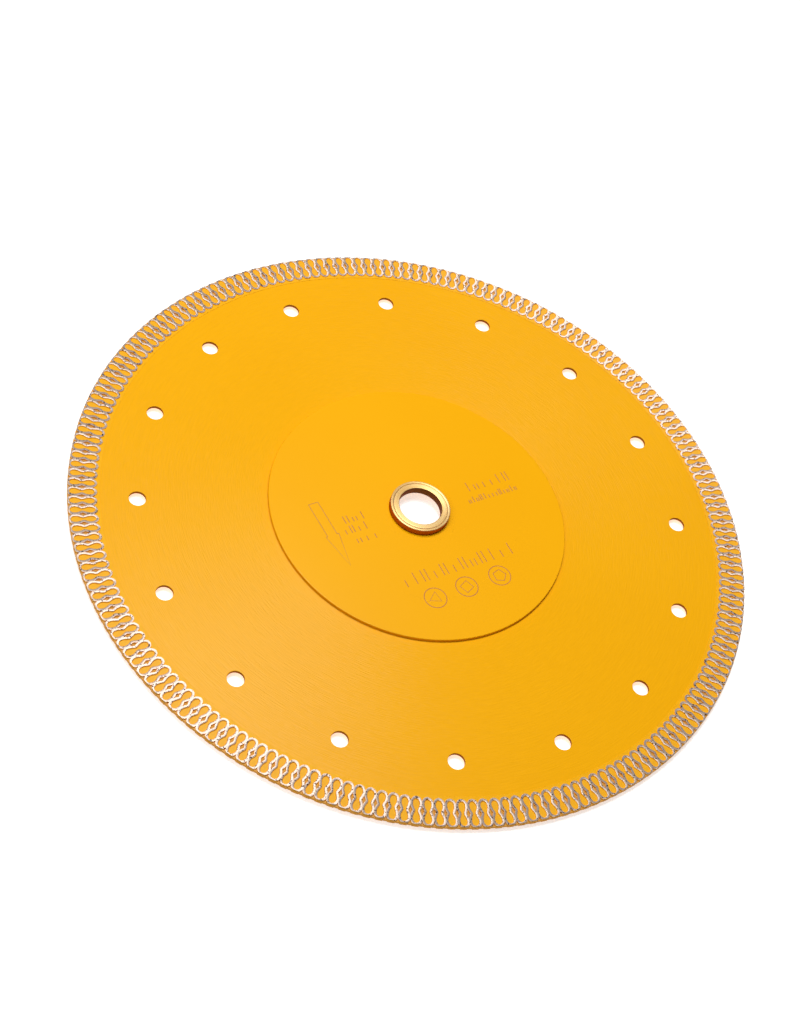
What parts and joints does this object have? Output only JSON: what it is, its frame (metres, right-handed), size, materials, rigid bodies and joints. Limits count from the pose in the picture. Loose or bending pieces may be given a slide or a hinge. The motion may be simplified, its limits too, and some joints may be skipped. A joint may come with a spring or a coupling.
{
  "type": "diamond tile saw blade",
  "caption": "Continuous-rim diamond tile blade with a mesh-patterned rim, drilled painted core, hub flanges and nested bore reducer rings.",
  "frame": {"origin": "centre of the back flange's outer face, on which the blade rests when it lies flat", "axes": "+Z is the blade's axis of rotation, out of the front face that the reducer rings stand in; +X passes through the centre of a cooling hole"},
  "size_m": [0.25, 0.25, 0.0061],
  "materials": {
    "core_paint": "satin golden yellow paint over a ground steel core",
    "flange_paint": "satin golden yellow paint, smooth, with faint laser etching",
    "rim_metal": "sintered diamond metal, bare and gritty on the ridges",
    "rim_paint": "paint left in the recesses and on the edge of the rim",
    "ring_metal": "turned, lightly oxidised"
  },
  "bodies": {
    "blade": {"steel_core": "core_paint", "front_flange": "flange_paint", "back_flange": "flange_paint", "diamond_rim": "rim_metal"},
    "outer_ring": {"outer_reducer_ring": "ring_metal"},
    "inner_ring": {"inner_reducer_ring": "ring_metal"}
  },
  "joints": [
    {"name": "outer_ring_slide", "type": "slide", "parent": "blade", "child": "outer_ring", "axis": [0, 0, 1], "range_m": [-0.00275, 0.02]},
    {"name": "inner_ring_slide", "type": "slide", "parent": "outer_ring", "child": "inner_ring", "axis": [0, 0, 1], "range_m": [0, 0.012]}
  ]
}
